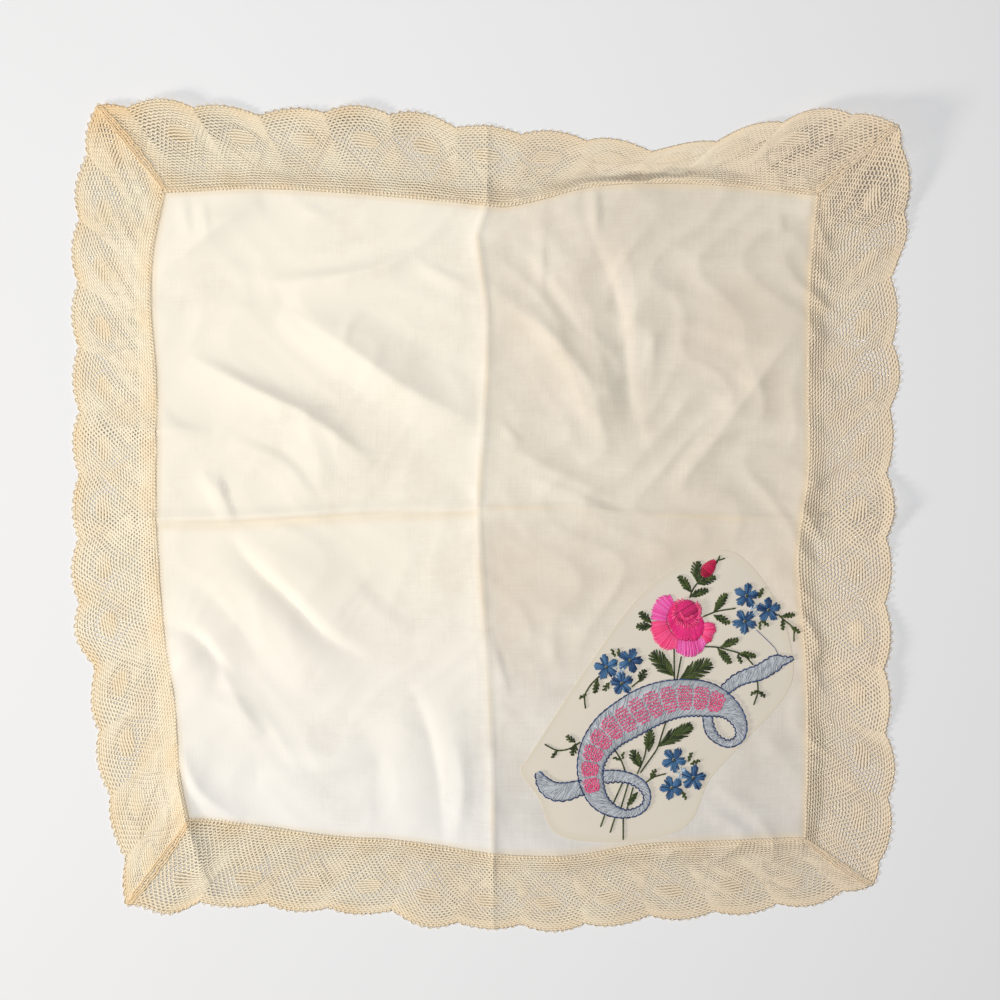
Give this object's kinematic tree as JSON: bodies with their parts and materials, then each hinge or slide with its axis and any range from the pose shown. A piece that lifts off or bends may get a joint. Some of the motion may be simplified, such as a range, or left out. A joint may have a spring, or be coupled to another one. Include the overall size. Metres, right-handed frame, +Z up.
{
  "type": "handkerchief",
  "caption": "Square sheer ivory handkerchief with a scalloped net lace border and an embroidered corner, laid out nearly flat.",
  "frame": {"origin": "on the surface that the cloth lies on, under the middle of its bounding box", "axes": "+X to the right and +Y to the far edge as the cloth is seen from above with the embroidered corner near and right; +Z up, out of the cloth"},
  "size_m": [0.2802, 0.2784, 0.0092],
  "materials": {
    "ground_cloth": "sheer ivory plain weave, soft sheen, creased",
    "net_lace": "ecru cotton net lace, matt, tan at its edges",
    "patch_cloth": "cream plain weave, matt",
    "ribbon_thread": "grey-blue silk stitches with a navy outline",
    "rose_thread": "pink silk satin stitches",
    "deep_rose_thread": "deep pink silk satin stitches",
    "crimson_thread": "crimson silk satin stitches",
    "blue_thread": "blue silk stitches",
    "green_thread": "dark green silk stitches"
  },
  "bodies": {
    "root": {"panel": "ground_cloth", "lace_top": "net_lace", "lace_right": "net_lace", "lace_bottom": "net_lace", "lace_left": "net_lace", "motif_patch": "patch_cloth", "ribbon_band": "ribbon_thread", "ribbon_tail_left": "ribbon_thread", "ribbon_tail_right": "ribbon_thread", "rose": "rose_thread", "rose_heart": "deep_rose_thread", "bud": "crimson_thread", "flower_1": "blue_thread", "flower_2": "blue_thread", "flower_3": "blue_thread", "flower_4": "blue_thread", "flower_5": "blue_thread", "flower_6": "blue_thread", "flower_7": "blue_thread", "flower_8": "blue_thread", "flower_9": "blue_thread", "sprig_bud": "green_thread", "sprig_right": "green_thread", "sprig_end": "green_thread", "sprig_middle": "green_thread", "sprig_foot_left": "green_thread", "sprig_foot_right": "green_thread", "sprig_rose_left_1": "green_thread", "sprig_rose_left_2": "green_thread", "sprig_cluster": "green_thread", "sprig_left": "green_thread", "sprig_tail": "green_thread", "sprig_arch": "green_thread", "sprig_inner": "green_thread", "sprig_far_left": "green_thread", "sprig_lower": "green_thread", "stem_end_1": "green_thread", "stem_end_2": "green_thread", "stem_end_3": "green_thread", "stems_in_loop": "green_thread"}
  },
  "joints": []
}
